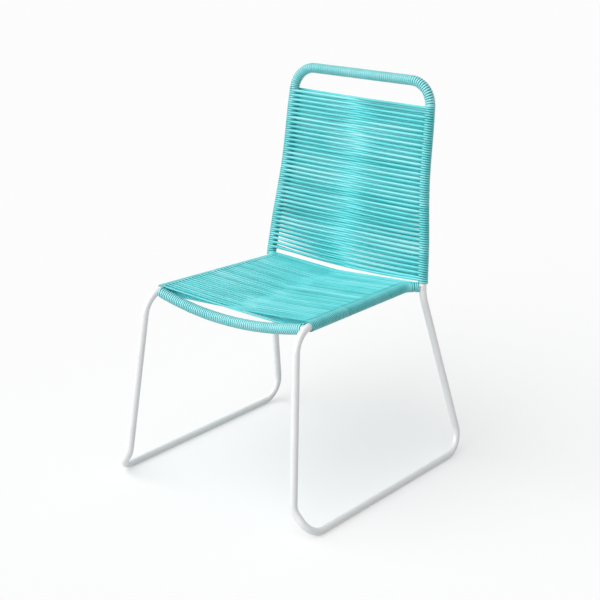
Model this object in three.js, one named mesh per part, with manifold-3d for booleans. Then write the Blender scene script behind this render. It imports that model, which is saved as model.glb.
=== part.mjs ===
// Stacking patio chair: a white frame of bent round tube, strung with flat turquoise cord.
// Millimetres. +Z is up, the sitter faces -Y, and left and right are as seen from the front.
// The origin lies on the floor, under the middle of the chair.

import * as THREE from 'three';
import { mergeVertices } from 'three/addons/utils/BufferGeometryUtils.js';
import Module from 'manifold-3d';

const wasm = await Module();
wasm.setup();

// Tube, cord and the gap between pieces that touch
const TUBE_DIAMETER = 16;
const TUBE_WALL = 1.2;
const CORD_WIDTH = 4.6;
const CORD_THICKNESS = 3;
const CLEARANCE = 0.3;

// Front corner of the seat, where a side tube turns down into the front leg
const SEAT_FRONT_HALF_WIDTH = 198.5;
const SEAT_FRONT_REACH = 233.6;
const SEAT_FRONT_HEIGHT = 413;
const SEAT_FRONT_BEND = 50;

// Rear corner of the seat rail, where it swings out to the upright, a little lower than the front
const SEAT_REAR_HALF_WIDTH = 181;
const SEAT_REAR_REACH = 167.5;
const SEAT_REAR_DROP = 12.5;
const SEAT_REAR_BEND = 25;

// Foot of the front leg, kicked out sideways above the runner
const KICK_HALF_WIDTH = 225.3;
const KICK_REACH = 276.9;
const KICK_HEIGHT = 57.4;
const KICK_BEND = 36;

// Floor runner
const RUNNER_HALF_WIDTH = 263;
const RUNNER_FRONT_REACH = 268.8;
const RUNNER_REAR_REACH = 283;
const RUNNER_FRONT_BEND = 42;
const RUNNER_REAR_BEND = 46;

// Knee of the rear leg, where the upright starts to lean back, below the seat's front corner
const KNEE_HALF_WIDTH = 210.8;
const KNEE_REACH = 188;
const KNEE_DROP = 27.3;
const KNEE_BEND = 100;

// Top bar of the back, and how far the strung cord draws each upright inwards
const TOP_HALF_WIDTH = 178.4;
const TOP_REACH = 249;
const TOP_HEIGHT = 830;
const TOP_BEND = 52;
const UPRIGHT_BOW = 5.4;

// Plug joint between a rear leg and the back hoop
const JOINT_RISE = 47;
const JOINT_SLEEVE_LENGTH = 50;

// Front crossbar, which dips between the two front bends
const CROSSBAR_DROP = 23.5;
const CROSSBAR_FORWARD = 5;
const CROSSBAR_ON_BEND_SHARE = 0.17;

// Strung cord: figures of eight round both tubes, and how far the cords hang down in their middle
const BACK_LOOPS = 24;
const SEAT_LOOPS = 24;
const BACK_SAG = 1.5;
const SEAT_SAG = 2.5;
const END_TURNS = 1;

// Fineness of the faceted surfaces
const TUBE_SIDES = 12;
const BEND_STEP = Math.PI / 10;
const BOW_STEPS = 8;
const CROSSBAR_STEPS = 12;
const HALF_TURN_STEPS = 6;
const CROSSING_STEPS = 3;
const LEAD_STEPS = 3;

const ACROSS = new THREE.Vector3(1, 0, 0);
const UP = new THREE.Vector3(0, 0, 1);
const FRONT = new THREE.Vector3(0, -1, 0);

const tubeRadius = TUBE_DIAMETER / 2;
const boreRadius = tubeRadius - TUBE_WALL;
const wrapBore = tubeRadius + CLEARANCE;
const wrapRadius = wrapBore + CORD_THICKNESS;
const seatRearHeight = SEAT_FRONT_HEIGHT - SEAT_REAR_DROP;

// Distance from the axis to a corner of a faceted tube whose flats lie at this radius
function cornerRadius(radius) {
	return radius / Math.cos(Math.PI / TUBE_SIDES);
}

// What is left of a direction once its share along the axis is taken away
function square(direction, axis) {
	return direction.clone().addScaledVector(axis, -direction.dot(axis)).normalize();
}

// Centre line of a bent tube, as stations with a point, the direction that the tube runs in there
// and the corner that a bend's stations round.
class BentLine extends THREE.Curve {

	constructor(stations, side = ACROSS) {
		super();
		this.stations = stations;
		this.side = side;
		this.lengths = [0];
		stations.slice(1).forEach((station, index) => {
			const run = station.point.distanceTo(stations[index].point);
			this.lengths.push(this.lengths[index] + run);
		});
		this.total = this.lengths[this.lengths.length - 1];
	}

	// Station at a length along the line
	at(length) {
		let index = 0;
		while (index < this.stations.length - 2 && this.lengths[index + 1] < length) index++;
		const share = (length - this.lengths[index]) / (this.lengths[index + 1] - this.lengths[index]);
		const [near, far] = [this.stations[index], this.stations[index + 1]];
		return {
			point: near.point.clone().lerp(far.point, share),
			tangent: near.tangent.clone().lerp(far.tangent, share).normalize(),
		};
	}

	// Lengths at which the rounding of a corner starts and ends
	spanOf(corner) {
		const within = this.lengths.filter((_, index) => this.stations[index].corner === corner);
		return [within[0], within[within.length - 1]];
	}

	// Length at which the line passes a height, searched from its end
	lengthAtHeight(height) {
		let index = this.stations.length - 1;
		while (index > 1 && this.stations[index - 1].point.z > height) index--;
		const low = this.stations[index - 1].point.z;
		const high = this.stations[index].point.z;
		const run = this.lengths[index] - this.lengths[index - 1];
		return this.lengths[index - 1] + run * (height - low) / (high - low);
	}

	between(from, to) {
		const inner = this.stations.filter((_, index) => {
			return this.lengths[index] > from + CLEARANCE && this.lengths[index] < to - CLEARANCE;
		});
		return new BentLine([this.at(from), ...inner, this.at(to)], this.side);
	}

	mirrored() {
		const flip = (vector) => new THREE.Vector3(-vector.x, vector.y, vector.z);
		const stations = this.stations.map(({ point, tangent }) => {
			return { point: flip(point), tangent: flip(tangent) };
		});
		return new BentLine(stations, this.side);
	}

	reversed() {
		const stations = this.stations.map(({ point, tangent }) => {
			return { point, tangent: tangent.clone().negate() };
		});
		return new BentLine(stations.reverse(), this.side);
	}

	getSpacedPoints() {
		return this.stations.map(({ point }) => point.clone());
	}

	// Sections stay level with the side direction, so a flat stays underneath along the runner
	computeFrenetFrames() {
		const tangents = this.stations.map(({ tangent }) => tangent);
		const normals = tangents.map((tangent) => square(this.side, tangent));
		const binormals = tangents.map((tangent, index) => tangent.clone().cross(normals[index]));
		return { tangents, normals, binormals };
	}

}

// Straight runs between corners, each corner rounded to its radius. A zero radius is a mitre.
function bentStations(corners, radii) {
	const ahead = corners.slice(1).map((corner, index) => corner.clone().sub(corners[index]).normalize());
	const stations = [{ point: corners[0].clone(), tangent: ahead[0] }];
	for (let index = 1; index < corners.length - 1; index++) {
		const [into, out] = [ahead[index - 1], ahead[index]];
		const turn = into.angleTo(out);
		const radius = radii[index - 1];
		const corner = corners[index];
		if (radius === 0) {
			stations.push({ point: corner.clone(), tangent: into.clone().add(out).normalize(), corner });
			continue;
		}
		const inward = square(out, into);
		const start = corner.clone().addScaledVector(into, -radius * Math.tan(turn / 2));
		const steps = Math.ceil(turn / BEND_STEP);
		for (let step = 0; step <= steps; step++) {
			const angle = turn * step / steps;
			stations.push({
				point: start.clone()
					.addScaledVector(into, radius * Math.sin(angle))
					.addScaledVector(inward, radius * (1 - Math.cos(angle))),
				tangent: into.clone().multiplyScalar(Math.cos(angle))
					.addScaledVector(inward, Math.sin(angle)),
				corner,
			});
		}
	}
	stations.push({ point: corners[corners.length - 1].clone(), tangent: ahead[ahead.length - 1] });
	return stations;
}

// Faceted circle with a flat on each side direction
function sectionPoints(radius) {
	return Array.from({ length: TUBE_SIDES }, (_, index) => {
		const angle = (index + 1 / 2) * 2 * Math.PI / TUBE_SIDES;
		return new THREE.Vector2(Math.cos(angle), Math.sin(angle)).multiplyScalar(cornerRadius(radius));
	});
}

function tube(line, radius, bore = 0) {
	const section = new THREE.Shape(sectionPoints(radius));
	if (bore > 0) section.holes.push(new THREE.Path(sectionPoints(bore)));
	const steps = line.stations.length - 1;
	return new THREE.ExtrudeGeometry(section, { steps, extrudePath: line, bevelEnabled: false });
}

function toSolid(geometry) {
	const bare = geometry.clone();
	bare.deleteAttribute('normal');
	bare.deleteAttribute('uv');
	const merged = mergeVertices(bare);
	return new wasm.Manifold(new wasm.Mesh({
		numProp: 3,
		vertProperties: new Float32Array(merged.attributes.position.array),
		triVerts: new Uint32Array(merged.index.array),
	}));
}

function toGeometry(solid) {
	const { vertProperties, triVerts } = solid.getMesh();
	const geometry = new THREE.BufferGeometry();
	geometry.setAttribute('position', new THREE.Float32BufferAttribute(vertProperties, 3));
	geometry.setIndex(new THREE.Uint32BufferAttribute(triVerts, 1));
	geometry.computeVertexNormals();
	return geometry;
}

// Cuts the ends of a piece to the shape of the tubes that it meets
function coped(geometry, lines) {
	const cutters = lines.map((line) => toSolid(tube(line, tubeRadius + CLEARANCE)));
	return toGeometry(cutters.reduce((solid, cutter) => solid.subtract(cutter), toSolid(geometry)));
}

// Rear leg and upright, from the runner's rear corner to the top corner
const runnerRear = new THREE.Vector3(RUNNER_HALF_WIDTH, RUNNER_REAR_REACH, tubeRadius);
const knee = new THREE.Vector3(KNEE_HALF_WIDTH, KNEE_REACH, SEAT_FRONT_HEIGHT - KNEE_DROP);
const top = new THREE.Vector3(TOP_HALF_WIDTH, TOP_REACH, TOP_HEIGHT);
const lean = top.clone().sub(knee).normalize();
const joint = knee.clone().addScaledVector(lean, JOINT_RISE);
const bowFoot = joint.clone().addScaledVector(lean, JOINT_SLEEVE_LENGTH / 2);
const bowHead = top.clone().addScaledVector(lean, -TOP_BEND);
const bowPoints = Array.from({ length: BOW_STEPS + 1 }, (_, index) => {
	const share = index / BOW_STEPS;
	const draw = UPRIGHT_BOW * (1 - Math.cos(2 * Math.PI * share)) / 2;
	return bowFoot.clone().lerp(bowHead, share).addScaledVector(ACROSS, -draw);
});
const rearLeg = new BentLine(bentStations([runnerRear, knee, top], [KNEE_BEND]));

// Side tube: seat rail, front leg, runner and rear leg in one bent length
const railEndOn = rearLeg.at(rearLeg.lengthAtHeight(seatRearHeight)).point;
const seatRear = new THREE.Vector3(SEAT_REAR_HALF_WIDTH, SEAT_REAR_REACH, seatRearHeight);
const railSwing = railEndOn.clone().sub(seatRear).normalize();
const railEnd = railEndOn.clone().addScaledVector(railSwing, -cornerRadius(tubeRadius) - CLEARANCE);
const seatFront = new THREE.Vector3(SEAT_FRONT_HALF_WIDTH, -SEAT_FRONT_REACH, SEAT_FRONT_HEIGHT);
const kick = new THREE.Vector3(KICK_HALF_WIDTH, -KICK_REACH, KICK_HEIGHT);
const runnerFront = new THREE.Vector3(RUNNER_HALF_WIDTH, -RUNNER_FRONT_REACH, tubeRadius);
const topMiddle = new THREE.Vector3(0, TOP_REACH, TOP_HEIGHT);
const rightLine = new BentLine(bentStations(
	[railEnd, seatRear, seatFront, kick, runnerFront, runnerRear, knee, joint, ...bowPoints, top, topMiddle],
	[SEAT_REAR_BEND, SEAT_FRONT_BEND, KICK_BEND, RUNNER_FRONT_BEND, RUNNER_REAR_BEND, KNEE_BEND, 0,
		...bowPoints.map(() => 0), TOP_BEND],
));
const leftLine = rightLine.mirrored();

// Lengths along a side line at which its pieces start and end
const [jointAt] = rightLine.spanOf(joint);
const [backStart] = rightLine.spanOf(top);
const [rearBendStart] = rightLine.spanOf(seatRear);
const [frontBendStart, frontBendEnd] = rightLine.spanOf(seatFront);
const crossbarAt = frontBendStart + (frontBendEnd - frontBendStart) * CROSSBAR_ON_BEND_SHARE;
const leadLength = 2 * CORD_WIDTH + CLEARANCE;
const footTurnsFrom = rightLine.lengthAtHeight(seatRearHeight + cornerRadius(wrapRadius) + CLEARANCE);
const footTurnsTo = footTurnsFrom + END_TURNS * CORD_WIDTH;
const frontTurnsTo = crossbarAt - cornerRadius(wrapRadius) - 2 * CLEARANCE;
const frontTurnsFrom = frontTurnsTo - END_TURNS * CORD_WIDTH;
const rearTurnsTo = rearBendStart + END_TURNS * CORD_WIDTH;

// Front crossbar, from the middle of one front bend to the middle of the other
const crossbarEnd = rightLine.at(crossbarAt).point;
const crossbarCorners = Array.from({ length: CROSSBAR_STEPS + 1 }, (_, index) => {
	const share = 1 - 2 * index / CROSSBAR_STEPS;
	const dip = 1 - share * share;
	return new THREE.Vector3(
		crossbarEnd.x * share,
		crossbarEnd.y - CROSSBAR_FORWARD * dip,
		crossbarEnd.z - CROSSBAR_DROP * dip,
	);
});
const crossbarLine = new BentLine(
	bentStations(crossbarCorners, crossbarCorners.slice(2).map(() => 0)), UP);

// Back hoop: both uprights and the top bar in one bent length
const hoopHalf = rightLine.between(jointAt + CLEARANCE, rightLine.total);
const hoopPlane = square(FRONT, lean.clone().setX(0).normalize());
const hoopLine = new BentLine(
	[...hoopHalf.stations.slice(0, -1), ...hoopHalf.mirrored().reversed().stations], hoopPlane);
const topTurnsFrom = backStart + leadLength - jointAt - CLEARANCE;
const topTurnsLine = hoopLine.between(topTurnsFrom, hoopLine.total - topTurnsFrom);

// Section of the wound cord: flat on one side, rounded on the other
const CORD_SECTION_SHARES = [[-0.38, -0.5], [0.38, -0.5], [0.5, 0.1], [0, 0.5], [-0.5, 0.1]];
const halfTurnStep = Math.PI / HALF_TURN_STEPS;
const cordRadius = (cornerRadius(tubeRadius) + CLEARANCE) / Math.cos(halfTurnStep / 2) + CORD_THICKNESS / 2;

// Point of the cord on one of the two tubes: angle zero faces outwards, a right angle the front face.
// The cord crosses over between the tubes without a twist, so its other side bears on the right one.
function cordOnTube(line, length, angle, side, face) {
	const { point, tangent } = line.at(length);
	const facing = square(face, tangent);
	const outward = tangent.clone().cross(facing);
	if (outward.x < 0) outward.negate();
	const normal = outward.multiplyScalar(Math.cos(angle)).addScaledVector(facing, Math.sin(angle));
	const place = point.addScaledVector(normal, cordRadius);
	place.x *= side;
	normal.x *= side;
	return { place, normal: normal.multiplyScalar(-side) };
}

// Route of one unbroken cord in figures of eight round both tubes, from a start length to an end
// length: round the outside of a tube to its front face, then across to the other tube's rear face
function cordRoute(line, start, end, loops, face, sagAt) {
	const route = [];
	const quarter = Math.PI / 2;
	const stepsPerLoop = 2 * (HALF_TURN_STEPS + CROSSING_STEPS);
	const stepsInAll = loops * stepsPerLoop - CROSSING_STEPS;
	const heading = Math.sign(end - start);
	const leadTurn = CORD_WIDTH / cordRadius;
	// An end of the cord: a quarter bend on the tube's inner side, then a straight run of one width
	const lead = (length, side, away) => {
		const place = (along, turned) => cordOnTube(line, length + away * along, side * turned, side, face);
		const bend = Array.from({ length: LEAD_STEPS }, (_, step) => {
			const angle = quarter * (1 - step / LEAD_STEPS);
			const turned = quarter + halfTurnStep + leadTurn * (1 - Math.cos(angle));
			return place(CORD_WIDTH * Math.sin(angle), turned);
		});
		return [place(2 * CORD_WIDTH, quarter + halfTurnStep + leadTurn), ...bend];
	};
	route.push(...lead(start, -1, -heading));
	let index = 0;
	const lengthAt = () => start + (end - start) * index / stepsInAll;
	for (let half = 0; half < 2 * loops; half++) {
		const side = half % 2 === 0 ? -1 : 1;
		for (let step = 0; step <= HALF_TURN_STEPS; step++) {
			route.push(cordOnTube(line, lengthAt(), step * halfTurnStep - quarter, side, face));
			index++;
		}
		if (half === 2 * loops - 1) break;
		const from = route[route.length - 1];
		const next = start + (end - start) * (index + CROSSING_STEPS - 1) / stepsInAll;
		const to = cordOnTube(line, next, -quarter, -side, face);
		for (let step = 1; step < CROSSING_STEPS; step++) {
			const share = step / CROSSING_STEPS;
			const sag = sagAt(index / stepsInAll) * 4 * share * (1 - share);
			route.push({
				place: from.place.clone().lerp(to.place, share).addScaledVector(UP, -sag),
				normal: from.normal.clone().lerp(to.normal, share).normalize(),
			});
			index++;
		}
	}
	route.push(...lead(end, 1, heading).reverse());
	return route;
}

// Least gap between the turns, taken at the route's points less the cord's width
function leastGap(route) {
	let least = Infinity;
	const reach = HALF_TURN_STEPS + CROSSING_STEPS;
	for (let near = 0; near < route.length; near++) {
		for (let far = near + reach; far < route.length; far++) {
			least = Math.min(least, route[near].place.distanceTo(route[far].place));
		}
	}
	return least - CORD_WIDTH;
}

function woundCord(name, route) {
	const positions = [];
	const faces = [];
	const ring = CORD_SECTION_SHARES.length;
	route.forEach(({ place, normal }, index) => {
		const before = route[Math.max(index - 1, 0)].place;
		const after = route[Math.min(index + 1, route.length - 1)].place;
		const run = after.clone().sub(before).normalize();
		const outward = square(normal, run);
		const sideways = run.clone().cross(outward);
		for (const [widthShare, heightShare] of CORD_SECTION_SHARES) {
			const point = place.clone()
				.addScaledVector(sideways, widthShare * CORD_WIDTH)
				.addScaledVector(outward, heightShare * CORD_THICKNESS);
			positions.push(point.x, point.y, point.z);
		}
	});
	for (let index = 0; index < route.length - 1; index++) {
		for (let corner = 0; corner < ring; corner++) {
			const [a, b] = [index * ring + corner, index * ring + (corner + 1) % ring];
			faces.push(a, a + ring, b, b, a + ring, b + ring);
		}
	}
	const lastRing = (route.length - 1) * ring;
	for (let corner = 1; corner < ring - 1; corner++) {
		faces.push(0, corner, corner + 1);
		faces.push(lastRing, lastRing + corner + 1, lastRing + corner);
	}
	const geometry = new THREE.BufferGeometry();
	geometry.setAttribute('position', new THREE.Float32BufferAttribute(positions, 3));
	geometry.setIndex(faces);
	geometry.computeVertexNormals();
	console.log(`${name}: least gap between turns ${leastGap(route).toFixed(1)} mm`);
	return geometry;
}

const chair = new THREE.Group();

function paint() {
	return new THREE.MeshStandardMaterial({ color: 0xe9edee, roughness: 0.38, metalness: 0.05 });
}

function cord() {
	return new THREE.MeshStandardMaterial({ color: 0x63cfcf, roughness: 0.45, metalness: 0 });
}

function add(name, geometry, material) {
	const mesh = new THREE.Mesh(geometry, material);
	mesh.name = name;
	chair.add(mesh);
}

function addFrame() {
	for (const [side, line] of [['left', leftLine], ['right', rightLine]]) {
		add(`${side}_side_frame`, tube(line.between(0, jointAt), tubeRadius, boreRadius), paint());
		const sleeveLine = line.between(jointAt - JOINT_SLEEVE_LENGTH / 2, jointAt + JOINT_SLEEVE_LENGTH / 2);
		add(`${side}_joint_sleeve`, tube(sleeveLine, boreRadius - CLEARANCE), paint());
	}
	add('back_hoop', tube(hoopLine, tubeRadius, boreRadius), paint());
	const crossbar = tube(crossbarLine, tubeRadius, boreRadius);
	const bends = [leftLine, rightLine].map((line) => line.between(frontTurnsFrom, frontBendEnd));
	add('front_crossbar', coped(crossbar, bends), paint());
	const bareEnd = cornerRadius(tubeRadius) + CLEARANCE;
	const wrapped = crossbarLine.between(bareEnd, crossbarLine.total - bareEnd);
	add('front_crossbar_winding', coped(tube(wrapped, wrapRadius, wrapBore), bends), cord());
}

function addWindings() {
	add('top_bar_winding', tube(topTurnsLine, wrapRadius, wrapBore), cord());
	for (const [side, line] of [['left', leftLine], ['right', rightLine]]) {
		const wrap = (from, to) => tube(line.between(from, to), wrapRadius, wrapBore);
		add(`${side}_upright_end_turns`, wrap(footTurnsFrom, footTurnsTo), cord());
		add(`${side}_rail_front_turns`, wrap(frontTurnsFrom, frontTurnsTo), cord());
		add(`${side}_rail_rear_turns`, wrap(CORD_THICKNESS, rearTurnsTo), cord());
	}
	const backRoute = cordRoute(rightLine, backStart, footTurnsTo + leadLength, BACK_LOOPS, FRONT,
		(share) => BACK_SAG * share);
	add('back_cord', woundCord('back_cord', backRoute), cord());
	const seatRoute = cordRoute(rightLine, frontTurnsFrom - leadLength, rearTurnsTo + leadLength, SEAT_LOOPS, UP,
		() => SEAT_SAG);
	add('seat_cord', woundCord('seat_cord', seatRoute), cord());
}

addFrame();
addWindings();

// Sets the chair down with the middle of its box over the origin
const box = new THREE.Box3().setFromObject(chair);
chair.position.y = -(box.min.y + box.max.y) / 2;

export default chair;
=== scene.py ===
# Patio side chair of white bent tube, strung with turquoise cord in figures of eight.
# Shapes are worked out in millimetres, in the frame of the drawing, and written in metres.

from math import acos, ceil, cos, pi, sin, tan

import bpy
import numpy as np
from mathutils import Matrix, Vector


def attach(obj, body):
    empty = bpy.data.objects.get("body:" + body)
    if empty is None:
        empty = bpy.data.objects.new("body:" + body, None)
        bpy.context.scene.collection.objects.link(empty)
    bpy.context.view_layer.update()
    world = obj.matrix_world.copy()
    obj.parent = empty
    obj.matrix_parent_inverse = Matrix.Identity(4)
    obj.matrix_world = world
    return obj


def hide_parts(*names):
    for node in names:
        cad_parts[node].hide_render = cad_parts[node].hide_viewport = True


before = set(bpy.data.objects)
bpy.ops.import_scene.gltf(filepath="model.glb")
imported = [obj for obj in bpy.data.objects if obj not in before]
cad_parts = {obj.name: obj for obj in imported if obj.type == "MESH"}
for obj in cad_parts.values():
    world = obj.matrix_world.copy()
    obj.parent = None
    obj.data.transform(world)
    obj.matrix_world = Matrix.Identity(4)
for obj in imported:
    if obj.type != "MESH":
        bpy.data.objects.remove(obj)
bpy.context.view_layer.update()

# Units, and how far the drawing shifts the chair back to centre it over the origin
MM = 0.001
CENTRING = 3.0492

# Angles and directions
FULL = 2 * pi
QUARTER = pi / 2
FRONT = np.array([0.0, -1.0, 0.0])
UP = np.array([0.0, 0.0, 1.0])
ACROSS = np.array([1.0, 0.0, 0.0])

# Tube
TUBE_RADIUS = 8.0
TUBE_WALL = 1.2
BORE_RADIUS = TUBE_RADIUS - TUBE_WALL
PLUG_CLEARANCE = 0.3
PLUG_LENGTH = 50
WELD_SINK = 3.0

# Cord, which lies flat: a turn goes round a tube, a strand runs between two tubes, and a loop is one
# figure of eight. Strands are a little narrower in the middle, and turns are wider on the inner side of
# a tube.
CORD_THICKNESS = 3.2
STRAND_THICKNESS = 3.6
TURN_WIDTH = 4.9
INNER_TURN_WIDTH = 10.2
STRAND_WIDTH = 6.1
MIDDLE_WIDTH = 5.6
MIDDLE_SHARE = 0.2
TURN_PITCH = 5.0
LOOP_PITCH = 10.0
WRAP_RADIUS = TUBE_RADIUS + CORD_THICKNESS / 2

# Power of the outline of the cord's section: 2 is an ellipse, and more is squarer
TURN_POWER = 1.75
STRAND_POWER = 2.3

# Tones shift the cord's colour, up to lighter ones and down to deeper ones. The edges of turns and strands
# are painted deeper: painted shade in the grooves between them.
# Turns round the top bar and the crossbar are painted paler: a painted sheen of the light from above.
BAR_SHEEN_TONE = 0.72
# Hugs, and the turns at the ends of the strung panels, are set lower than the bars' turns: painted shade
# on the sides of the rails and uprights.
HUG_SHADE_TONE = 0.40
TURN_GROOVE_SHADE = 1.4
STRAND_GROOVE_SHADE = 0.25
GROOVE_SHADE_POWER = 1.2

# Thickness, depth of the painted groove shade at the edges, and power of the section
TURN_FORM = (CORD_THICKNESS, TURN_GROOVE_SHADE, TURN_POWER)
STRAND_FORM = (STRAND_THICKNESS, STRAND_GROOVE_SHADE, STRAND_POWER)

# Play that work by hand leaves in the places and the tones of turns and strands. The play of tone is
# partly painted sheen: it stands in for highlights that differ from one strand to the next.
SEED = 7
PLAY_OF_TURNS = 0.07
PLAY_OF_HUGS = 0.10
PLAY_OF_STRANDS = 0.12
PLAY_OF_DEPTH = 0.25
PLAY_CARRIED_SHARE = 0.9
PLAY_OF_TURN_TONE = 0.05
PLAY_OF_STRAND_TONE = 0.10
PLAY_OF_LOOP_TONES = (PLAY_OF_TURN_TONE, PLAY_OF_STRAND_TONE) * 2

# Fineness, and how near to one another lengths and points count as the same
TUBE_SIDES = 48
BEND_STEP = pi / 60
BOW_STEPS = 40
CROSSBAR_STEPS = 96
TURN_STEPS = 24
HUG_STEPS = 37
STRAND_STEPS = 22
CORD_SIDES = 12
SAME_LENGTH = 0.001
SAME_POINT = 0.02


def vec(*values):
    return np.array(values, dtype=float)


def unit(v):
    v = np.asarray(v, dtype=float)
    return v / np.linalg.norm(v, axis=-1, keepdims=True)


def square(direction, axis):
    """What is left of a direction once its share along the axis is taken away."""
    return unit(direction - np.sum(direction * axis, axis=-1, keepdims=True) * axis)


def around(across, other, angles):
    """Directions at the given angles in the plane of two directions, or of each pair of directions."""
    return across[..., None, :] * np.cos(angles)[:, None] + other[..., None, :] * np.sin(angles)[:, None]


class Line:
    """Centre line: points, directions and lengths along it. Bends are rows of a corner and the numbers of
    the first and the last point of the bend there."""

    def __init__(self, points, directions, bends=()):
        self.points = np.asarray(points, dtype=float)
        self.directions = unit(directions)
        steps = np.linalg.norm(np.diff(self.points, axis=0), axis=1)
        self.lengths = np.concatenate([[0.0], np.cumsum(steps)])
        self.total = float(self.lengths[-1])
        self.bends = bends

    def at(self, length):
        """Place and direction at a length, or at each of many lengths."""
        place = np.stack([np.interp(length, self.lengths, row) for row in self.points.T], axis=-1)
        direction = np.stack([np.interp(length, self.lengths, row) for row in self.directions.T], axis=-1)
        return place, unit(direction)

    def bend_at(self, corner):
        """Lengths at which the bend at a corner starts and ends."""
        first, last = next((first, last) for place, first, last in self.bends if place is corner)
        return float(self.lengths[first]), float(self.lengths[last])

    def length_at_height(self, height, low=0.0):
        """Length at which the line reaches a height, on the stretch past the length low."""
        inside = np.flatnonzero(self.lengths >= low)
        order = inside[np.argsort(self.points[inside, 2])]
        return float(np.interp(height, self.points[order, 2], self.lengths[order]))

    def between(self, start, end):
        inner = (self.lengths > start + SAME_LENGTH) & (self.lengths < end - SAME_LENGTH)
        return Line(*self.at(np.concatenate([[start], self.lengths[inner], [end]])))

    def on(self, side):
        """The line itself for the right side, 1, and its mirror image for the left side, -1."""
        flip = vec(side, 1, 1)
        return Line(self.points * flip, self.directions * flip)


def bent_line(start, corners, end):
    """Straight runs from start to end by way of corners, rows of a place and the radius of the bend
    there. A zero radius is a mitre."""
    places = [start, *[place for place, radius in corners], end]
    points = [start]
    directions = [unit(places[1] - start)]
    bends = []
    for i, (corner, radius) in enumerate(corners, 1):
        into = unit(corner - places[i - 1])
        out = unit(places[i + 1] - corner)
        if radius == 0:
            points.append(corner)
            directions.append(into + out)
            continue
        turn = acos(float(np.clip(into @ out, -1, 1)))
        inward = square(out, into)
        bend_start = corner - into * radius * tan(turn / 2)
        steps = max(2, ceil(turn / BEND_STEP))
        bends.append((corner, len(points), len(points) + steps))
        for k in range(steps + 1):
            angle = turn * k / steps
            points.append(bend_start + into * radius * sin(angle) + inward * radius * (1 - cos(angle)))
            directions.append(into * cos(angle) + inward * sin(angle))
    points.append(end)
    directions.append(unit(end - places[-2]))
    return Line(points, directions, bends)


# Corners of the right side, as in the drawing, and the radii of the bends there
SEAT_FRONT = vec(198.5, -233.6, 413)
SEAT_FRONT_BEND = 50
SEAT_REAR = vec(181, 167.5, 400.5)
SEAT_REAR_BEND = 25
KICK = vec(225.3, -276.9, 57.4)
KICK_BEND = 36
RUNNER_FRONT = vec(263, -268.8, TUBE_RADIUS)
RUNNER_FRONT_BEND = 42
RUNNER_REAR = vec(263, 283, TUBE_RADIUS)
RUNNER_REAR_BEND = 46
KNEE = vec(210.8, 188, 385.7)
KNEE_BEND = 100
TOP = vec(178.4, 249, 830)
TOP_BEND = 52
TOP_MIDDLE = TOP * vec(0, 1, 1)

# The back hoop starts at a joint above the knee, and its uprights bow inwards a little
JOINT_RISE = 47
UPRIGHT_BOW = 5.4
lean = unit(TOP - KNEE)
joint = KNEE + lean * JOINT_RISE
bow_foot = joint + lean * PLUG_LENGTH / 2
bow_head = TOP - lean * TOP_BEND
bow = []
for i in range(BOW_STEPS + 1):
    bow_share = i / BOW_STEPS
    inwards = UPRIGHT_BOW * (1 - cos(FULL * bow_share)) / 2
    bow.append(bow_foot + (bow_head - bow_foot) * bow_share - ACROSS * inwards)

# The rails end in the sides of the rear legs
rear_leg = bent_line(RUNNER_REAR, [(KNEE, KNEE_BEND)], TOP)
rail_meets_leg = rear_leg.at(rear_leg.length_at_height(SEAT_REAR[2]))[0]
rail_end = rail_meets_leg - unit(rail_meets_leg - SEAT_REAR) * (TUBE_RADIUS - WELD_SINK)

# Seat rail, front leg, floor runner, rear leg, upright and half of the top bar in one centre line
side_line = bent_line(
    rail_end,
    [(SEAT_REAR, SEAT_REAR_BEND), (SEAT_FRONT, SEAT_FRONT_BEND), (KICK, KICK_BEND),
     (RUNNER_FRONT, RUNNER_FRONT_BEND), (RUNNER_REAR, RUNNER_REAR_BEND), (KNEE, KNEE_BEND),
     (joint, 0), *[(place, 0) for place in bow], (TOP, TOP_BEND)],
    TOP_MIDDLE)
joint_at = float(side_line.lengths[np.argmin(np.linalg.norm(side_line.points - joint, axis=1))])

# The crossbar dips between the front bends of the two rails
CROSSBAR_ON_BEND_SHARE = 0.17
CROSSBAR_DROP = 23.5
CROSSBAR_FORWARD = 5
front_start, front_end = side_line.bend_at(SEAT_FRONT)
crossbar_at = front_start + (front_end - front_start) * CROSSBAR_ON_BEND_SHARE
crossbar_end = side_line.at(crossbar_at)[0]
reach_share = np.linspace(1, -1, CROSSBAR_STEPS + 1)
dip_share = 1 - reach_share ** 2
crossbar_points = np.stack([crossbar_end[0] * reach_share, crossbar_end[1] - CROSSBAR_FORWARD * dip_share,
                            crossbar_end[2] - CROSSBAR_DROP * dip_share], axis=-1)
crossbar_line = Line(crossbar_points, np.gradient(crossbar_points, axis=0))


# Meshes

def add_object(name, data):
    thing = bpy.data.objects.new(name, data)
    bpy.context.scene.collection.objects.link(thing)
    return thing


def new_piece(name, points, quads, material, caps=(), uv=None):
    """Mesh object from points in the drawing's millimetres, quads and end caps with more corners."""
    mesh = bpy.data.meshes.new(name)
    mesh.vertices.add(len(points))
    mesh.vertices.foreach_set("co", ((points + vec(0, CENTRING, 0)) * MM).ravel())
    sizes = np.concatenate([np.full(len(quads), 4), [len(cap) for cap in caps]]).astype(int)
    corners = np.concatenate([quads.ravel(), *caps]).astype(int)
    mesh.loops.add(len(corners))
    mesh.loops.foreach_set("vertex_index", corners)
    mesh.polygons.add(len(sizes))
    mesh.polygons.foreach_set("loop_start", np.concatenate([[0], np.cumsum(sizes)[:-1]]))
    mesh.polygons.foreach_set("loop_total", sizes)
    if uv is not None:
        layer = mesh.uv_layers.new(name="Lengths")
        layer.data.foreach_set("uv", uv[corners].astype(np.float32).ravel())
    mesh.update(calc_edges=True)
    mesh.validate()
    mesh.shade_smooth()
    mesh.materials.append(material)
    return add_object(name, mesh)


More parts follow.
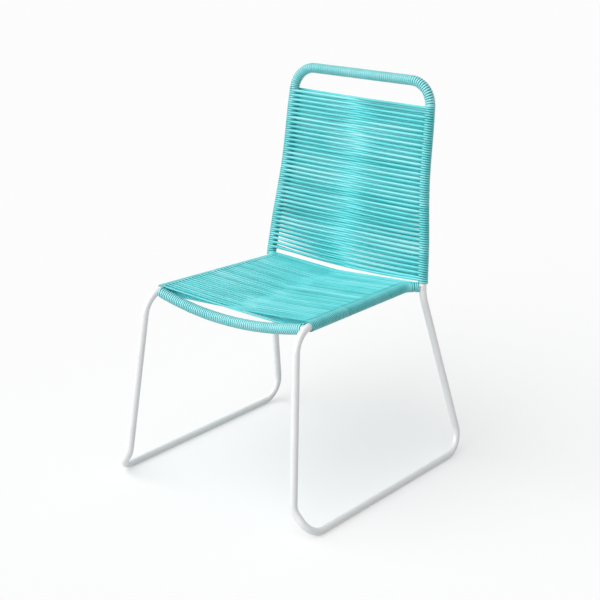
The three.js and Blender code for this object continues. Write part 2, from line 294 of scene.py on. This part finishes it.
def dress(piece, slot, *nodes):
    """The piece moves with the part's only body and stands for the nodes."""
    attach(piece, "root")
    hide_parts(*nodes)


def ring_faces(rings, sides, first=0):
    """Quads between rings of points that follow one another."""
    i, j = np.meshgrid(np.arange(rings - 1), np.arange(sides), indexing="ij")
    a = first + i * sides + j
    b = first + i * sides + (j + 1) % sides
    return np.stack([a, b, b + sides, a + sides], axis=-1).reshape(-1, 4)


def tube_rings(line, reference, radius):
    across = square(reference, line.directions)
    other = np.cross(line.directions, across)
    angles = np.arange(TUBE_SIDES) * FULL / TUBE_SIDES
    return (line.points[:, None] + around(across, other, angles) * radius).reshape(-1, 3)


def hollow_tube(line, reference):
    """Outer skin, bore and the two end rings of a tube."""
    outer = tube_rings(line, reference, TUBE_RADIUS)
    inner = tube_rings(line, reference, BORE_RADIUS)
    rings = len(line.points)
    side = np.arange(TUBE_SIDES)
    ahead = (side + 1) % TUBE_SIDES
    last = (rings - 1) * TUBE_SIDES
    skin = len(outer)
    quads = np.concatenate([
        ring_faces(rings, TUBE_SIDES),
        ring_faces(rings, TUBE_SIDES, skin)[:, ::-1],
        np.stack([side, skin + side, skin + ahead, ahead], axis=-1),
        np.stack([last + side, last + ahead, skin + last + ahead, skin + last + side], axis=-1)])
    return np.concatenate([outer, inner]), quads


# Weld beads where the seat rails meet the rear legs, and how far along rail and leg their edge is sought
BEAD_RADIUS = 1.5
BEAD_RIPPLES = 17
BEAD_RIPPLE_SHARE = 0.14
BEAD_STEPS = 72
BEAD_SIDES = 8
BEAD_SEARCH = 2 * TUBE_RADIUS
BEAD_SEARCH_POINTS = 161
LEG_REACH = 40
LEG_RUN_POINTS = 20


def weld_bead(rail, side):
    """Rippled bead round the end of a seat rail, along the edge where the rail comes out of the leg.
    Lines along the rail's skin are followed from inside the leg until they come out of it."""
    knee_start, knee_end = side_line.bend_at(KNEE)
    knee = side_line.between(knee_start - LEG_REACH, knee_end + LEG_REACH).on(side).points
    along_run = np.linspace(0, 1, LEG_RUN_POINTS)[:, None]
    leg = np.concatenate([start + (end - start) * along_run for start, end in zip(knee, knee[1:])])
    place, direction = rail.at(0.0)
    across = square(UP, direction)
    angles = np.arange(BEAD_STEPS) * FULL / BEAD_STEPS
    search = np.linspace(-BEAD_SEARCH, BEAD_SEARCH, BEAD_SEARCH_POINTS)
    ring = []
    for outward in around(across, np.cross(direction, across), angles):
        spots = place + outward * TUBE_RADIUS + direction * search[:, None]
        gaps = np.linalg.norm(spots[:, None] - leg[None], axis=2).min(axis=1)
        outside = np.flatnonzero(gaps > TUBE_RADIUS)
        ring.append(spots[outside[outside > np.argmin(gaps)][0]])
    ring = np.array(ring)
    run = unit(np.roll(ring, -1, axis=0) - np.roll(ring, 1, axis=0))
    away = square(ring - ring.mean(axis=0), run)
    radii = BEAD_RADIUS * (1 + BEAD_RIPPLE_SHARE * np.sin(angles * BEAD_RIPPLES + side))
    section = around(away, np.cross(run, away), np.arange(BEAD_SIDES) * FULL / BEAD_SIDES)
    skin = (ring[:, None] + radii[:, None, None] * section).reshape(-1, 3)
    return skin, ring_faces(BEAD_STEPS + 1, BEAD_SIDES) % len(skin)


def side_frame(name, side):
    """Seat rail, front leg, floor runner and rear leg of one side, bent from one tube."""
    tube = side_line.between(0, joint_at).on(side)
    points, quads = hollow_tube(tube, ACROSS)
    bead_points, bead_quads = weld_bead(tube, side)
    quads = np.concatenate([quads, bead_quads + len(points)])
    points = np.concatenate([points, bead_points])
    piece = new_piece(f"{name}_bent_tube", points, quads, paint)
    dress(piece, "frame_paint", f"{name}_side_frame")


def joint_plug(name, side):
    """Sleeve inside the joint between a rear leg and the back hoop."""
    line = side_line.between(joint_at - PLUG_LENGTH / 2, joint_at + PLUG_LENGTH / 2).on(side)
    rings = len(line.points)
    start_cap = np.arange(TUBE_SIDES)[::-1]
    end_cap = (rings - 1) * TUBE_SIDES + np.arange(TUBE_SIDES)
    points = tube_rings(line, ACROSS, BORE_RADIUS - PLUG_CLEARANCE)
    piece = new_piece(f"{name}_plug", points, ring_faces(rings, TUBE_SIDES), paint, [start_cap, end_cap])
    dress(piece, "frame_paint", f"{name}_joint_sleeve")


def back_hoop():
    """Two uprights and the top bar, bent from one tube."""
    half = side_line.between(joint_at + PLUG_CLEARANCE, side_line.total)
    other_half = half.on(-1)
    points = np.concatenate([half.points, other_half.points[-2::-1]])
    directions = np.concatenate([half.directions, -other_half.directions[-2::-1]])
    piece = new_piece("bent_hoop", *hollow_tube(Line(points, directions), FRONT), paint)
    dress(piece, "frame_paint", "back_hoop")


def front_crossbar():
    """Dipped tube between the front bends of the two rails."""
    cut = TUBE_RADIUS - WELD_SINK
    tube = crossbar_line.between(cut, crossbar_line.total - cut)
    piece = new_piece("dipped_crossbar", *hollow_tube(tube, UP), paint)
    dress(piece, "frame_paint", "front_crossbar")


# Routes of the cord

# Turns of one hug round a tube, and half waves of its play along the tube
HUG_TURNS = 1.5
WOBBLE_HALF_WAVES = 3

# How fully turns take up wider and narrower room in a bend, and the length over which it is measured
FILLING_POWER = 0.6
SPREAD_STEP = 0.5

# How much further along strands leave the right tube than the left one, and slow waves in how closely
# strands lie over a whole panel
RIGHT_LEAD = 1.3
WANDER_WAVES = (2.3, 5.1)

# Each panel's cord faces one way and is wound in one sense
BACK_WAY = (FRONT, 1)
SEAT_WAY = (UP, -1)


def on_tube(side, lengths, angles, way):
    """Places on the cord's turns and the directions of its flat face. Side is 1 for the right tube and -1
    for the left one. Angle zero faces outwards, and a right angle faces the front or the top. The cord
    isn't twisted, so the face that looks out on the left tube looks in on the right one."""
    face, sense = way
    places, directions = side_line.at(lengths)
    facing = square(face, directions)
    outward = sense * np.cross(directions, facing)
    angles = np.asarray(angles, dtype=float)[..., None]
    normals = outward * np.cos(angles) + facing * np.sin(angles)
    flip = vec(side, 1, 1)
    return (places + normals * WRAP_RADIUS) * flip, normals * flip * -side


class Route:
    """Points of one cord, each with the direction of its flat face, its width, tone and form."""

    def __init__(self):
        self.parts = []

    def add(self, places, faces, width, tone, form):
        values = [np.broadcast_to(np.asarray(value, dtype=float), (len(places),))
                  for value in (width, tone, *form)]
        self.parts.append((places, faces, *values))

    def wind(self, side, lengths, angles, way, width, tone):
        self.add(*on_tube(side, lengths, angles, way), width, tone, TURN_FORM)

    def joined(self):
        columns = [np.concatenate(column) for column in zip(*self.parts)]
        steps = np.linalg.norm(np.diff(columns[0], axis=0), axis=1)
        keep = np.concatenate([[True], steps > SAME_POINT])
        return [column[keep] for column in columns]


def strand_lean(length):
    """Angle by which strands lean that run from the rear of one tube to the front of the other."""
    gap = 2 * side_line.at(length)[0][0]
    return float(np.arcsin(2 * WRAP_RADIUS / gap))


def bend_spread(side, lengths, angles, way):
    """How much longer the outside of a bend is than the middle line of the tube, where a turn lies."""
    ahead = on_tube(side, lengths + SPREAD_STEP, angles, way)[0]
    behind = on_tube(side, lengths - SPREAD_STEP, angles, way)[0]
    return np.maximum(1, np.linalg.norm(ahead - behind, axis=1) / (2 * SPREAD_STEP))


def turn_widths(side, lengths, angles, way):
    """Each turn fills the room up to the next one, so it is wider outside a bend and narrower inside."""
    if len(lengths) <= 2 * TURN_STEPS:
        return TURN_WIDTH
    places = on_tube(side, lengths, angles, way)[0]
    room = np.linalg.norm(places[TURN_STEPS:] - places[:-TURN_STEPS], axis=1) / TURN_PITCH
    return TURN_WIDTH * np.concatenate([room, room[-TURN_STEPS:]]) ** FILLING_POWER


def turn_tones(steps, rng):
    """A tone of its own for each turn, passing smoothly to the next."""
    turns = np.arange(0, steps + TURN_STEPS, TURN_STEPS)
    return np.interp(np.arange(steps + 1), turns, rng.normal(0, PLAY_OF_TURN_TONE, len(turns)))


def helix(route, side, start, end, first_angle, way, rng, middle_tone):
    """Close turns along a tube, from one length to another. Says at which angle they end."""
    turns = (end - start) / TURN_PITCH
    steps = int(turns * TURN_STEPS)
    share = np.linspace(0, 1, steps + 1)
    angles = first_angle + share * turns * FULL
    halves = np.arange(0, steps + TURN_STEPS, TURN_STEPS / 2)
    play = np.interp(np.arange(steps + 1), halves, rng.normal(0, PLAY_OF_TURNS, len(halves)))
    lengths = start + (end - start) * share + play
    widths = turn_widths(side, lengths, angles, way)
    route.wind(side, lengths, angles, way, widths, middle_tone + turn_tones(steps, rng))
    return angles[-1]


def hug(route, side, start, end, way, away, wobble, tone):
    """One and a half turns round a tube, from a strand that comes in behind to one that leaves in front,
    with its two passes over the outside one pitch apart. Away is the angle by which the strands lean."""
    outer_rise = end - start - TURN_PITCH
    inner_rise = end - start - 2 * outer_rise
    even = (outer_rise + inner_rise) / FULL
    swing = (inner_rise - outer_rise) / 4
    first = -QUARTER - away
    last = -QUARTER + HUG_TURNS * FULL + away
    angles = np.linspace(first, last, HUG_STEPS + 1)
    share = (angles - first) / (last - first)
    lengths = start + even * (angles + QUARTER) - swing * (np.sin(angles) + 1)
    lengths = lengths + wobble * np.sin(pi * share) ** 2 * np.sin(WOBBLE_HALF_WAVES * pi * share)
    inward = np.clip(-np.cos(angles), 0, 1)
    widths = TURN_WIDTH + (INNER_TURN_WIDTH - TURN_WIDTH) * inward
    widths = widths * bend_spread(side, lengths, angles, way)
    route.wind(side, lengths, angles, way, widths, HUG_SHADE_TONE + tone)


def strand(route, from_tube, to_tube, sag, drift, depth, tone):
    """Straight run between places on the two tubes, with a slight sag, and with a little play along the
    panel, which is the drift, and square to it, which is the depth."""
    start, start_face = from_tube
    end, end_face = to_tube
    share = np.linspace(0, 1, STRAND_STEPS + 1)[1:-1, None]
    faces = unit(start_face * (1 - share) + end_face * share)
    sideways = np.cross(unit(end - start), faces)
    places = start + (end - start) * share - UP * sag * 4 * share * (1 - share)
    places = places + (sideways * drift + faces * depth) * np.sin(pi * share)
    near_middle = np.exp(-((share[:, 0] - 0.5) / MIDDLE_SHARE) ** 2)
    widths = STRAND_WIDTH + (MIDDLE_WIDTH - STRAND_WIDTH) * near_middle
    route.add(places, faces, widths, tone, STRAND_FORM)


def along_panel(rows):
    """A value that changes along a panel, from rows of a share of the panel and the value there."""
    shares, values = zip(*rows)
    return lambda share: float(np.interp(share, shares, values))


def strung(route, rng, first, loops, way, left_rise, right_rise, sag, first_lift=0.0, wander=0.0,
           ends_left=True):
    """Figures of eight: left tube, strand, right tube, strand. Lengths rise by one pitch a loop. Left rise
    and right rise say how far past the strand that leaves a tube in front the next one comes in behind.
    The first strand leaves the right tube further on by the first lift. Says at which length the cord last
    comes in behind the right tube."""
    drifts = [0.0]
    depths = [0.0]
    for _ in range(2 * loops + 2):
        drifts.append(PLAY_CARRIED_SHARE * drifts[-1] + rng.normal(0, PLAY_OF_STRANDS))
        depths.append(PLAY_CARRIED_SHARE * depths[-1] + rng.normal(0, PLAY_OF_DEPTH))
    for k in range(loops + 1):
        share = k / loops
        left_out = first + LOOP_PITCH * k
        right_in = left_out + (RIGHT_LEAD - LOOP_PITCH + right_rise(share))
        right_out = left_out + RIGHT_LEAD
        away = strand_lean(left_out)
        tones = rng.normal(0, 1, 4) * PLAY_OF_LOOP_TONES
        wobbles = rng.normal(0, PLAY_OF_HUGS, 2)
        if k > 0:
            left_in = left_out - (LOOP_PITCH - left_rise(share - 1 / loops))
            hug(route, -1, left_in, left_out, way, away, wobbles[0], tones[0])
            strand(route, on_tube(-1, left_out, QUARTER + away, way),
                   on_tube(1, right_in, -QUARTER - away, way),
                   sag(share), drifts[2 * k], depths[2 * k], tones[1])
            if k == loops and not ends_left:
                break
            hug(route, 1, right_in, right_out, way, away, wobbles[1], tones[2])
        lift = first_lift if k == 0 else 0.0
        # The strand that runs back is shifted in its middle, to lie about midway between its neighbours
        closing = (left_rise(share) - right_rise(share)) / 2
        closing = closing + wander * sum(np.sin(FULL * (share * waves)) for waves in WANDER_WAVES)
        strand(route, on_tube(1, left_out + (RIGHT_LEAD + lift), QUARTER + away, way),
               on_tube(-1, left_out + left_rise(share), -QUARTER - away, way),
               sag(share), drifts[2 * k + 1] + closing, depths[2 * k + 1], tones[3])
    return right_in


def cord_mesh(name, route, *nodes):
    """Sweeps the cord's flat rounded section along its route."""
    places, faces, widths, tones, thicknesses, groove_shades, powers = route.joined()
    run = unit(np.gradient(places, axis=0))
    face = square(faces, run)
    across = np.cross(run, face)
    angles = (np.arange(CORD_SIDES) + 0.5) * FULL / CORD_SIDES
    power = 2 / powers[:, None]
    wide = np.sign(np.cos(angles)) * np.abs(np.cos(angles)) ** power * widths[:, None] / 2
    thick = np.sign(np.sin(angles)) * np.abs(np.sin(angles)) ** power * thicknesses[:, None] / 2
    points = places[:, None] + across[:, None] * wide[..., None] + face[:, None] * thick[..., None]
    rings = len(places)
    side = np.arange(CORD_SIDES)
    caps = [side, (rings - 1) * CORD_SIDES + side[::-1]]
    lengths = np.concatenate([[0], np.cumsum(np.linalg.norm(np.diff(places, axis=0), axis=1))])
    uv = np.stack(np.broadcast_arrays(lengths[:, None] * MM, side[None] / CORD_SIDES), axis=-1)
    quads = ring_faces(rings, CORD_SIDES)[:, ::-1]
    piece = new_piece(name, points.reshape(-1, 3), quads, cord, caps, uv.reshape(-1, 2))
    # The section's edges are given a deeper tone: painted shade in the grooves between neighbouring turns
    # and strands.
    painted_groove_shade = groove_shades[:, None] * np.abs(np.cos(angles))[None] ** GROOVE_SHADE_POWER
    tone = piece.data.attributes.new("tone", "FLOAT", "POINT")
    tone.data.foreach_set("value", (tones[:, None] - painted_groove_shade).astype(np.float32).ravel())
    dress(piece, "cord", *nodes)


# Materials

WHITE = (1, 1, 1, 1)

# Positions on a ramp and the colours there
PAINT_COLOURS = [(0.3, (0.87, 0.88, 0.89, 1)), (0.75, (0.91, 0.918, 0.925, 1))]
PAINT_FINISH = {"Specular IOR Level": 1.0, "IOR": 1.6, "Coat Weight": 1.0, "Coat Roughness": 0.3}
PAINT_ROUGHNESS = (0.30, 0.44)
MOTTLE_SCALE = 22
MOTTLE_DETAIL = 4
PEEL_SCALE = 620
PEEL_DETAIL = 2
PEEL_STRENGTH = 0.12
PEEL_DEPTH = 0.0002

# The cord's ramp runs from a near-black deep teal, the painted shade of the grooves, through the cord's
# own turquoise to a paler, whiter turquoise, which is painted sheen.
CORD_SHADE_TO_SHEEN_COLOURS = [(0.0, (0.004, 0.37, 0.385, 1)), (0.3, (0.035, 0.63, 0.66, 1)),
                (0.6, (0.205, 0.735, 0.76, 1)), (0.95, (0.42, 0.785, 0.815, 1))]
CORD_FINISH = {"Specular IOR Level": 0.85}
CORD_ROUGHNESS = (0.26, 0.38)
LINES_STRETCH = (9, 14, 1)
LINES_DETAIL = 3
LINES_SHARE = 0.4
LINES_STRENGTH = 0.15
LINES_DEPTH = 0.0002
CLOUD_STRETCH = (9, 32, 32)
CLOUD_DETAIL = 4
CLOUD_SHARE = 0.7


def set_inputs(tree, node, values):
    """Sets inputs of a node, by name or number, to a value or to another node's output."""
    for key, value in values.items():
        if isinstance(value, bpy.types.NodeSocket):
            tree.links.new(value, node.inputs[key])
        else:
            node.inputs[key].default_value = value


def add_node(tree, kind, values, **settings):
    node = tree.nodes.new(kind)
    for name, value in settings.items():
        setattr(node, name, value)
    set_inputs(tree, node, values)
    return node.outputs


def new_material(name):
    material = bpy.data.materials.new(name)
    material.use_nodes = True
    return material, material.node_tree, material.node_tree.nodes["Principled BSDF"]


def stretched(tree, places, scale):
    return add_node(tree, "ShaderNodeMapping", {"Vector": places, "Scale": scale})["Vector"]


def noise(tree, places, scale, detail):
    values = {"Vector": places, "Scale": scale, "Detail": detail}
    return add_node(tree, "ShaderNodeTexNoise", values)["Fac"]


def scaled(tree, value, factor, plus):
    values = {0: value, 1: factor, 2: plus}
    return add_node(tree, "ShaderNodeMath", values, operation="MULTIPLY_ADD")["Value"]


def largest(tree, one, other):
    return add_node(tree, "ShaderNodeMath", {0: one, 1: other}, operation="MAXIMUM")["Value"]


def ranged(tree, value, low, high):
    """Takes values from 0 to 1 over to the range from low to high."""
    return add_node(tree, "ShaderNodeMapRange", {"Value": value, "To Min": low, "To Max": high})["Result"]


def relief(tree, height, strength, depth):
    values = {"Height": height, "Strength": strength, "Distance": depth}
    return add_node(tree, "ShaderNodeBump", values)["Normal"]


def ramp(tree, value, stops):
    node = tree.nodes.new("ShaderNodeValToRGB")
    elements = node.color_ramp.elements
    for element, (position, colour) in zip(elements, (stops[0], stops[-1])):
        element.position = position
        element.color = colour
    for position, colour in stops[1:-1]:
        elements.new(position).color = colour
    set_inputs(tree, node, {"Fac": value})
    return node.outputs["Color"]


def paint_material():
    """White powder coat: satin, with a fine orange peel and faint mottling."""
    material, tree, shader = new_material("white_powder_coat")
    places = add_node(tree, "ShaderNodeTexCoord", {})["Object"]
    mottle = noise(tree, places, MOTTLE_SCALE, MOTTLE_DETAIL)
    peel = noise(tree, places, PEEL_SCALE, PEEL_DETAIL)
    set_inputs(tree, shader, {
        "Base Color": ramp(tree, mottle, PAINT_COLOURS),
        "Roughness": ranged(tree, mottle, *PAINT_ROUGHNESS),
        "Normal": relief(tree, peel, PEEL_STRENGTH, PEEL_DEPTH),
        **PAINT_FINISH})
    return material


def cord_material():
    """Turquoise extruded cord: soft gloss, faint drawn lines along it, slow changes of tone over the
    panels and a tone of its own for each turn and strand. The tones run through a ramp from the painted
    shade of the grooves to a paler painted sheen."""
    material, tree, shader = new_material("turquoise_cord")
    along_cord = add_node(tree, "ShaderNodeUVMap", {}, uv_map="Lengths")["UV"]
    places = add_node(tree, "ShaderNodeTexCoord", {})["Object"]
    own_tone = add_node(tree, "ShaderNodeAttribute", {}, attribute_name="tone")["Fac"]
    lines = noise(tree, stretched(tree, along_cord, LINES_STRETCH), 1, LINES_DETAIL)
    clouds = noise(tree, stretched(tree, places, CLOUD_STRETCH), 1, CLOUD_DETAIL)
    tone = scaled(tree, own_tone, 1, (1 - LINES_SHARE - CLOUD_SHARE) / 2)
    tone = scaled(tree, clouds, CLOUD_SHARE, tone)
    tone = scaled(tree, lines, LINES_SHARE, tone)
    set_inputs(tree, shader, {
        "Base Color": ramp(tree, tone, CORD_SHADE_TO_SHEEN_COLOURS),
        "Roughness": ranged(tree, lines, *CORD_ROUGHNESS),
        "Normal": relief(tree, lines, LINES_STRENGTH, LINES_DEPTH),
        **CORD_FINISH})
    return material


paint = paint_material()
cord = cord_material()

# Frame
for name, side in (("left", -1), ("right", 1)):
    side_frame(name, side)
    joint_plug(name, side)
back_hoop()
front_crossbar()

rng = np.random.default_rng(SEED)

# Stringing of the back, from the foot of the uprights to just below the top corners. A table of shares
# has rows of a share of the panel, from its foot, and the rise there.
BACK_LOOPS = 37
BACK_TOP_STRAND = 776.4
BACK_FIRST_LIFT = 5.0
BACK_LEFT_RISE_SHARES = [(0, 7.2), (0.03, 6.1), (0.055, 5.6), (0.085, 4.4), (0.11, 4.2), (0.14, 3.0),
                         (0.35, 2.6), (0.5, 2.3), (1, 3.2)]
BACK_RIGHT_RISE_SHARES = [(0, 1.2), (0.1, 1.9), (0.22, 3.0), (0.36, 3.5), (0.5, 2.8), (0.65, 2.8),
                          (1, 3.4)]
BACK_WANDER = 0.4
BACK_SAG = 1.2
BACK_SAG_SHARE = 1.3
BACK_LOW_SAG = 4.0
BACK_LOW_SHARE = 0.22
BACK_LEAD_TURNS = 1.9
BACK_END_RISE = 1.45

# Lengths at which strands leave the left upright in front, the last and the first one, the lean of the
# strands, and lengths at which the cord last comes in behind the left upright and ends
back_top = side_line.length_at_height(BACK_TOP_STRAND, joint_at)
back_first = back_top - LOOP_PITCH * BACK_LOOPS
back_away = strand_lean(back_first)
back_home = back_top + BACK_LEFT_RISE_SHARES[-1][1]
back_end = back_home + BACK_END_RISE * (pi + back_away) / pi


def back_sag(share):
    """The strands sag less towards the top, and the lowest ones sag most."""
    return BACK_SAG * (BACK_SAG_SHARE - share) + BACK_LOW_SAG * np.exp(-share / BACK_LOW_SHARE)


def string_back(rng):
    """The cord starts with turns at the foot of the right upright, and ends with half a turn round the
    left one, under the first turn of the top bar."""
    route = Route()
    first_out = back_first + RIGHT_LEAD + BACK_FIRST_LIFT
    points = int(TURN_STEPS * BACK_LEAD_TURNS)
    angles = QUARTER + back_away - np.linspace(BACK_LEAD_TURNS * FULL, 0, points)
    lengths = np.linspace(first_out - BACK_LEAD_TURNS * TURN_PITCH, first_out, points)
    route.wind(1, lengths, angles, BACK_WAY, TURN_WIDTH, HUG_SHADE_TONE)
    strung(route, rng, back_first, BACK_LOOPS, BACK_WAY, along_panel(BACK_LEFT_RISE_SHARES),
           along_panel(BACK_RIGHT_RISE_SHARES), back_sag, BACK_FIRST_LIFT, BACK_WANDER)
    points = TURN_STEPS // 2
    angles = np.linspace(-QUARTER - back_away, QUARTER, points)
    route.wind(-1, np.linspace(back_home, back_end, points), angles, BACK_WAY, TURN_WIDTH, HUG_SHADE_TONE)
    return route


back_route = string_back(rng)
cord_mesh("back_stringing", back_route, "back_cord", "left_upright_end_turns", "right_upright_end_turns")

# A short length of cord fills the foot of the left upright under the stringing
LEFT_FOOT_TURNS = 3.4
LEFT_FOOT_ROOM = 3.2
left_foot_end = back_first + BACK_LEFT_RISE_SHARES[0][1] - LEFT_FOOT_ROOM
left_foot_start = left_foot_end - LEFT_FOOT_TURNS * TURN_PITCH
left_foot_route = Route()
helix(left_foot_route, -1, left_foot_start, left_foot_end, -QUARTER, BACK_WAY, rng, HUG_SHADE_TONE)
cord_mesh("left_foot_turns", left_foot_route, "left_upright_end_turns")

# Close turns over the top corners and the top bar. The last turn starts above the top strand and rises,
# and it widens behind the upright. Turns are counted from where it passes over the outside.
LAST_TURN_ABOVE = 4.8
LAST_TURN_RISE = 1.2
LAST_TURN_WIDENING = 2.0
WIDENING_TURNS = 0.7
TURNS_PAST_OUTER = 0.4
QUARTER_TURN = 0.25


def wind_top_bar(rng):
    """On the right half the turns carry on as seen in the mirror. Outer is where the last of them passes
    over the outside of the right upright, and there it lies nearly level on the strung turns."""
    route = Route()
    middle_angle = helix(route, -1, back_end, side_line.total, QUARTER, BACK_WAY, rng, BAR_SHEEN_TONE)
    last_level = back_top + LAST_TURN_ABOVE
    last_outer = last_level - TURN_PITCH * QUARTER_TURN
    half_length = side_line.total - last_outer
    turns_before = middle_angle / FULL
    turns_to_outer = round(half_length / TURN_PITCH + turns_before) - turns_before
    turns = turns_to_outer + TURNS_PAST_OUTER
    steps = int(turns * TURN_STEPS)
    turned = np.linspace(0, turns, steps + 1)
    past_outer = turned - turns_to_outer
    angles = middle_angle + turned * FULL
    lengths = side_line.total - half_length * turned / turns_to_outer
    lengths = np.maximum(lengths, last_level + LAST_TURN_RISE * (past_outer + QUARTER_TURN))
    behind = np.clip(0.5 + np.cos(angles + QUARTER / 2), 0, 1)
    own_widths = turn_widths(1, lengths, angles, BACK_WAY)
    widths = TURN_WIDTH + (own_widths - TURN_WIDTH) * np.clip(-past_outer - 1, 0, 1)
    widths = widths + LAST_TURN_WIDENING * behind * np.clip(past_outer + WIDENING_TURNS, 0, 1)
    route.wind(1, lengths, angles, BACK_WAY, widths, BAR_SHEEN_TONE + turn_tones(steps, rng))
    return route


top_route = wind_top_bar(rng)
cord_mesh("top_bar_turns", top_route, "top_bar_winding")

# Stringing of the seat, from the rear corners of the rails to the front bends
SEAT_LOOPS = 38
SEAT_FIRST_STRAND = 10.0
SEAT_LEFT_RISE = 3.4
SEAT_RIGHT_RISE = 3.5
SEAT_SAG = 2.5
SEAT_SAG_FIRST_SHARE = 0.2
SEAT_SAG_GROWTH = 3
SEAT_LEAD_START = 4.5
SEAT_LEAD_TURNS = 1.6
SEAT_TURNS_END = 388.5


def seat_sag(share):
    """The strands nearest the rear corners sag least."""
    return SEAT_SAG * min(1.0, SEAT_SAG_FIRST_SHARE + SEAT_SAG_GROWTH * share)


def string_seat(rng):
    """The cord starts with turns at the rear of the right rail and ends with turns at its front."""
    route = Route()
    away = strand_lean(SEAT_FIRST_STRAND)
    points = int(SEAT_LEAD_TURNS * TURN_STEPS) + 1
    angles = QUARTER + away - np.linspace(SEAT_LEAD_TURNS * FULL, 0, points)
    lengths = np.linspace(SEAT_LEAD_START, SEAT_FIRST_STRAND + RIGHT_LEAD, points)
    widths = TURN_WIDTH * bend_spread(1, lengths, angles, SEAT_WAY)
    route.wind(1, lengths, angles, SEAT_WAY, widths, HUG_SHADE_TONE)
    last_in = strung(route, rng, SEAT_FIRST_STRAND, SEAT_LOOPS, SEAT_WAY, lambda share: SEAT_LEFT_RISE,
                     lambda share: SEAT_RIGHT_RISE, seat_sag, ends_left=False)
    helix(route, 1, last_in, SEAT_TURNS_END, -QUARTER - away, SEAT_WAY, rng, HUG_SHADE_TONE)
    return route


seat_route = string_seat(rng)
cord_mesh("seat_stringing", seat_route, "seat_cord", "left_rail_front_turns", "right_rail_front_turns",
          "left_rail_rear_turns", "right_rail_rear_turns")

# Close turns along the front crossbar
BAR_CLEARANCE = 0.3
BAR_END_REACH = 3.6
BAR_END_FADE = 6.0


def wind_crossbar(rng):
    """The end turns reach over and under the bends of the rails as far as the bends leave room."""
    start = TUBE_RADIUS + BAR_CLEARANCE
    end = crossbar_line.total - start
    turns = (end - start) / TURN_PITCH
    steps = int(turns * TURN_STEPS)
    share = np.linspace(0, 1, steps + 1)
    lengths = start + (end - start) * share
    directions = crossbar_line.at(lengths)[1]
    upward = square(UP, directions)
    angles = (share * turns * FULL)[:, None]
    normals = upward * np.cos(angles) + np.cross(directions, upward) * np.sin(angles)
    over_bend = unit(np.cross(ACROSS, side_line.at(crossbar_at)[1]))
    near_end = np.exp(-np.minimum(lengths - start, end - lengths) / BAR_END_FADE)
    reach = BAR_END_REACH * near_end * (normals @ over_bend) ** 2
    places = crossbar_line.at(lengths + reach * np.sign(share - 0.5))[0] + normals * WRAP_RADIUS
    route = Route()
    route.add(places, normals, TURN_WIDTH + reach / 2, BAR_SHEEN_TONE + turn_tones(steps, rng), TURN_FORM)
    return route


bar_route = wind_crossbar(rng)
cord_mesh("crossbar_turns", bar_route, "front_crossbar_winding")

# Floor. To the eye it glows, which makes it white, and it throws light back as a pale grey floor does.
FLOOR_HALF = 30
FLOOR_SEEN = (0.58, 0.58, 0.58, 1)
FLOOR_BOUNCE = (0.52, 0.52, 0.52, 1)
FLOOR_GLOW = 0.46
FLOOR_FINISH = {"Roughness": 1.0, "Specular IOR Level": 0.0}
floor_mesh = bpy.data.meshes.new("floor")
floor_mesh.from_pydata([(-FLOOR_HALF, -FLOOR_HALF, 0), (FLOOR_HALF, -FLOOR_HALF, 0),
                        (FLOOR_HALF, FLOOR_HALF, 0), (-FLOOR_HALF, FLOOR_HALF, 0)], [], [(0, 1, 2, 3)])
floor_material, tree, shader = new_material("pale_floor")
bounced = add_node(tree, "ShaderNodeLightPath", {})["Is Diffuse Ray"]
mixed = add_node(tree, "ShaderNodeMix", {"Factor": bounced, "A": FLOOR_SEEN, "B": FLOOR_BOUNCE},
                 data_type="RGBA")
set_inputs(tree, shader, {
    "Base Color": mixed["Result"],
    "Emission Strength": scaled(tree, bounced, -FLOOR_GLOW, FLOOR_GLOW),
    "Emission Color": WHITE,
    **FLOOR_FINISH})
floor_mesh.materials.append(floor_material)
floor = add_object("floor", floor_mesh)

# Soft studio light: a broad key from the camera's left and above, and a pale surround, which is white
# where the camera or a gloss shows it
KEY_STRENGTH = 2.95
KEY_ANGLE = 1.5
KEY_FROM = Vector((-0.31, -0.66, 0.68))
SURROUND = 0.25
key_data = bpy.data.lights.new("key", "SUN")
key_data.energy = KEY_STRENGTH
key_data.angle = KEY_ANGLE
key = add_object("key", key_data)
key.rotation_euler = KEY_FROM.to_track_quat("Z", "Y").to_euler()

world = bpy.data.worlds.new("surround")
world.use_nodes = True
world.node_tree.nodes.clear()
rays = add_node(world.node_tree, "ShaderNodeLightPath", {})
seen = largest(world.node_tree, rays["Is Camera Ray"], rays["Is Glossy Ray"])
seen = largest(world.node_tree, seen, rays["Is Transmission Ray"])
strength = ranged(world.node_tree, seen, SURROUND, 1)
background = add_node(world.node_tree, "ShaderNodeBackground", {"Color": WHITE, "Strength": strength})
add_node(world.node_tree, "ShaderNodeOutputWorld", {"Surface": background["Background"]})
bpy.context.scene.world = world
bpy.context.scene.view_settings.view_transform = "Standard"

# Camera at the photograph's place: it stands in front of the chair, to the sitter's left. Back is the
# direction from what it sees to the camera.
LENS = 88.698
SENSOR = 36
FARTHEST = 200
CAMERA_AT = vec(1872.1, -2349.8, 1363.9)
CAMERA_BACK = unit(vec(0.587393, -0.746842, 0.311764))
camera_right = unit(np.cross(UP, CAMERA_BACK))
camera_up = np.cross(CAMERA_BACK, camera_right)
camera_place = (CAMERA_AT + vec(0, CENTRING, 0)) * MM
camera_data = bpy.data.cameras.new("camera")
camera_data.lens = LENS
camera_data.sensor_width = SENSOR
camera_data.clip_end = FARTHEST
camera = add_object("camera", camera_data)
placing = Matrix.Identity(4)
for column, axis in enumerate((camera_right, camera_up, CAMERA_BACK, camera_place)):
    for row in range(3):
        placing[row][column] = axis[row]
camera.matrix_world = placing
bpy.context.scene.camera = camera
